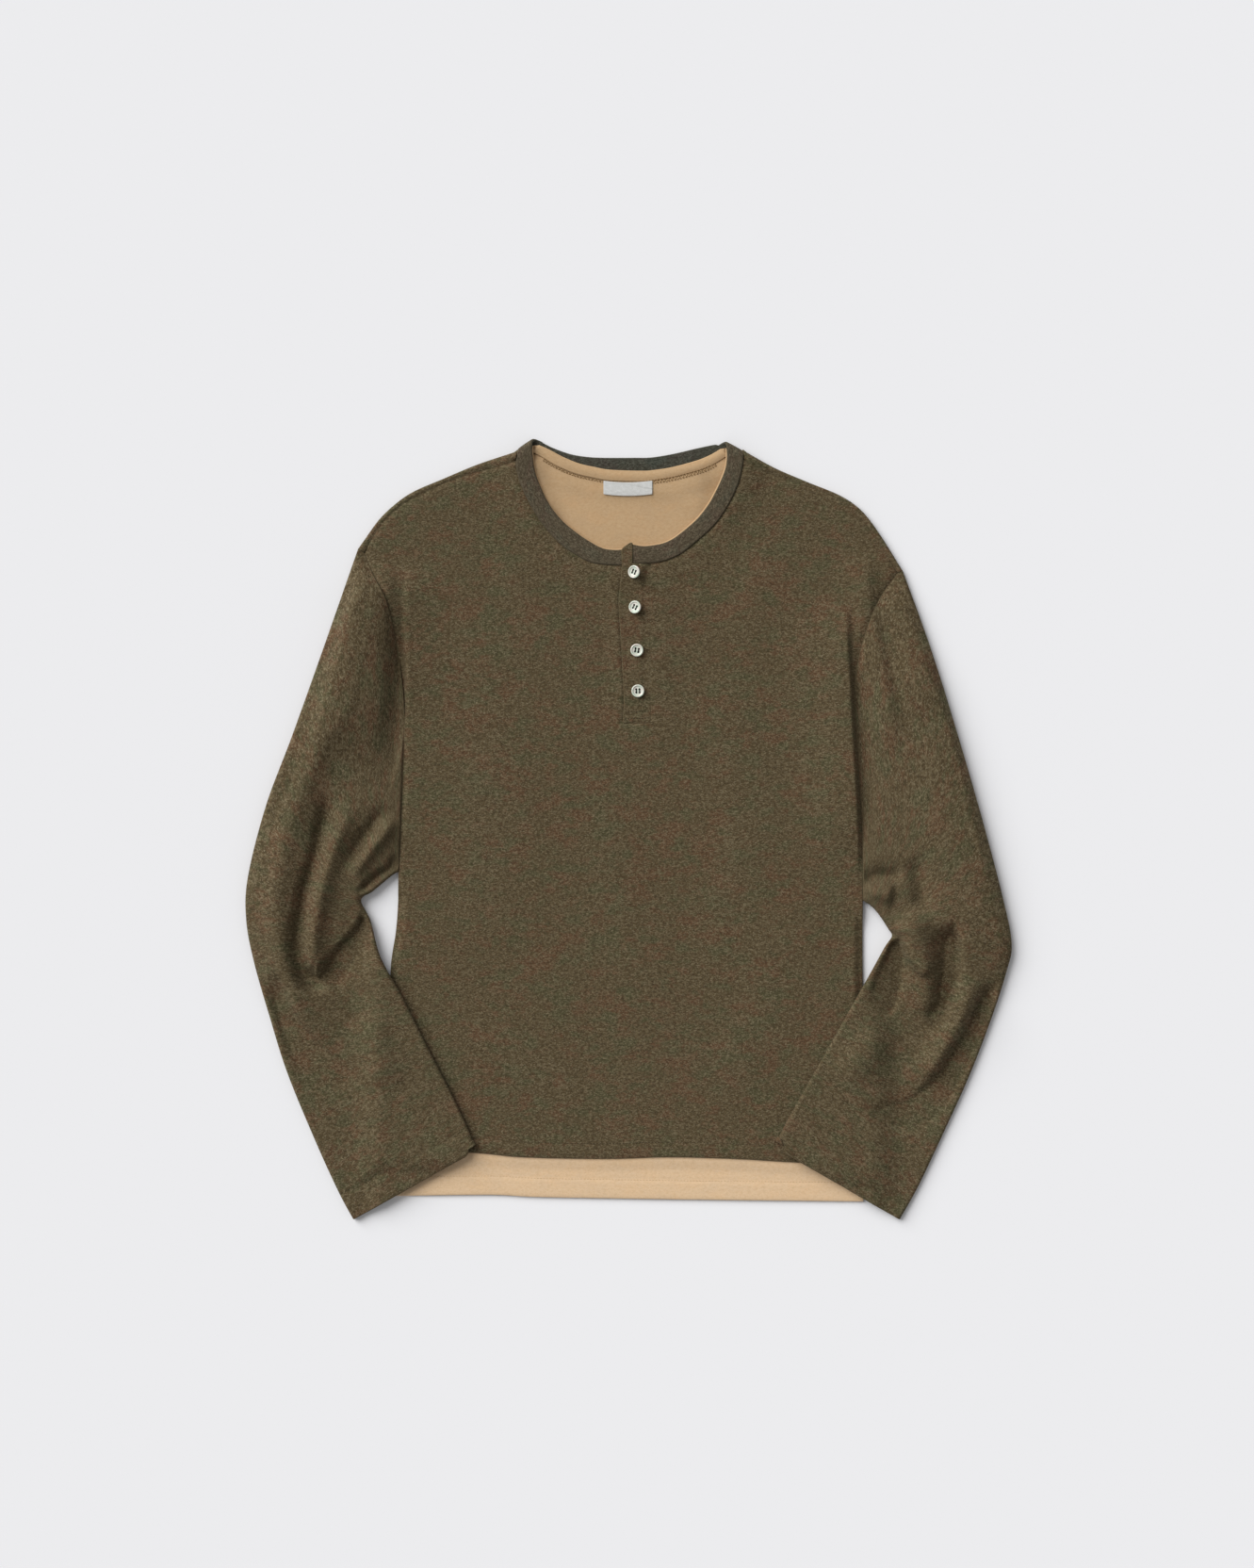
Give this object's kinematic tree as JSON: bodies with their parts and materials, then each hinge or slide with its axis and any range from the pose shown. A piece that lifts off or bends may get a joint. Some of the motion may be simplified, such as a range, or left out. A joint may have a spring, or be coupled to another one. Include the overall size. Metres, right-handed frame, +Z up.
{
  "type": "layered long-sleeved henley shirt laid flat",
  "caption": "Layered long-sleeved henley laid flat, front up, with a button placket, a neckband, bent sleeves and a longer inner layer.",
  "frame": {"origin": "middle of the outline on the surface that the shirt lies on", "axes": "+Z up from the surface, +Y from the hem to the neck, +X to the wearer's left"},
  "size_m": [0.69, 0.7027, 0.0173],
  "materials": {
    "olive_jersey": "brushed olive-brown melange jersey",
    "tan_jersey": "plain tan jersey",
    "shell_button": "pale shell with a soft pink and green gleam",
    "label_weave": "smooth woven tape, bare"
  },
  "bodies": {
    "root": {"back": "olive_jersey", "front": "olive_jersey", "sleeve_right": "olive_jersey", "sleeve_left": "olive_jersey", "neckband": "olive_jersey", "placket_upper": "olive_jersey", "placket_lower": "olive_jersey", "inner_back": "tan_jersey", "inner_front": "tan_jersey", "inner_neckband": "tan_jersey", "neck_label": "label_weave", "button_1": "shell_button", "button_2": "shell_button", "button_3": "shell_button", "button_4": "shell_button"}
  },
  "joints": []
}
